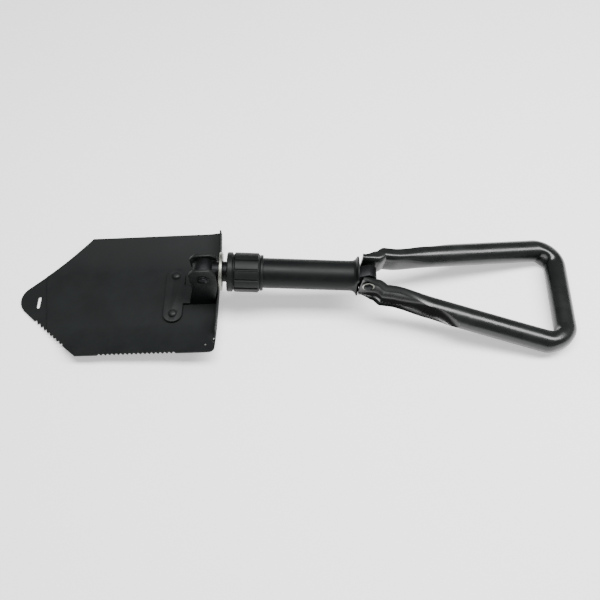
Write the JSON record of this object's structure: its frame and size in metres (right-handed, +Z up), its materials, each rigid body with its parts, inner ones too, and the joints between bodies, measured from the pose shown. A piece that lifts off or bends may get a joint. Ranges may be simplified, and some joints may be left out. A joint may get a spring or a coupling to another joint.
{
  "type": "folding camp shovel",
  "caption": "Folding camp shovel: a dished blade on a cam hinge with a screw locking collar, a short tube shaft and a hinged D handle that folds back along the shaft.",
  "frame": {"origin": "bottom centre of the bounding box, with the blade's tip and the grip resting on the ground", "axes": "+X along the length towards the D handle's grip, +Y across the blade along both hinge pins, +Z up, on the side that the hinge ears stand on"},
  "size_m": [0.589, 0.1508, 0.0775],
  "materials": {
    "blade_paint": "matte black",
    "tube_paint": "satin black",
    "handle_paint": "semi-gloss black",
    "collar_paint": "satin black",
    "bare_steel": "worn bare steel",
    "dark_steel": "dark oiled steel"
  },
  "bodies": {
    "shaft": {"shaft_tube": "tube_paint", "hinge_tongue": "dark_steel", "tongue_plug_pin": "bare_steel", "rear_bush": "dark_steel", "rear_bush_dowel": "bare_steel"},
    "washer": {"lock_washer": "bare_steel"},
    "collar_carrier": {"collar_retainer_ring": "collar_paint"},
    "collar": {"lock_collar": "collar_paint"},
    "blade": {"blade": "blade_paint", "hinge_bracket": "blade_paint", "blade_hinge_pin": "bare_steel", "blade_pin_washer_near": "dark_steel", "blade_pin_washer_far": "dark_steel", "bracket_rivet_near": "blade_paint", "bracket_rivet_far": "blade_paint"},
    "draw_bar": {"handle_tongue": "dark_steel", "tongue_stop_pin": "bare_steel"},
    "handle": {"handle_tube": "handle_paint", "handle_saddle": "handle_paint", "handle_hinge_pin": "dark_steel", "handle_pin_washer_near": "bare_steel", "handle_pin_washer_far": "bare_steel"}
  },
  "joints": [
    {"name": "blade_fold", "type": "hinge", "parent": "shaft", "child": "blade", "pos_m": [-0.09074, 0, 0.05857], "axis": [0, 1, 0], "range_deg": [0, 186.8]},
    {"name": "collar_advance", "type": "slide", "parent": "shaft", "child": "collar_carrier", "axis": [-0.9985, 0, 0.055], "range_m": [0, 0.00551]},
    {"name": "collar_turn", "type": "hinge", "parent": "collar_carrier", "child": "collar", "pos_m": [-0.0498, 0, 0.05632], "axis": [-0.9985, 0, 0.055], "range_deg": [0, 495]},
    {"name": "washer_slide", "type": "slide", "parent": "shaft", "child": "washer", "axis": [-0.9985, 0, 0.055], "range_m": [0, 0.00121]},
    {"name": "draw_bar_slide", "type": "slide", "parent": "shaft", "child": "draw_bar", "axis": [0.9985, 0, -0.055], "range_m": [0, 0.01201]},
    {"name": "handle_fold", "type": "hinge", "parent": "draw_bar", "child": "handle", "pos_m": [0.07814, 0, 0.05177], "axis": [0, -1, 0], "range_deg": [0, 187.9]}
  ],
  "couplings": [
    {"joint": "collar_advance", "follows": "collar_turn", "m_per_rad": 0.00063662},
    {"joint": "washer_slide", "follows": "collar_turn", "m_per_rad": 0.0001389},
    {"joint": "draw_bar_slide", "follows": "handle_fold", "m_per_rad": 0.0036591}
  ]
}
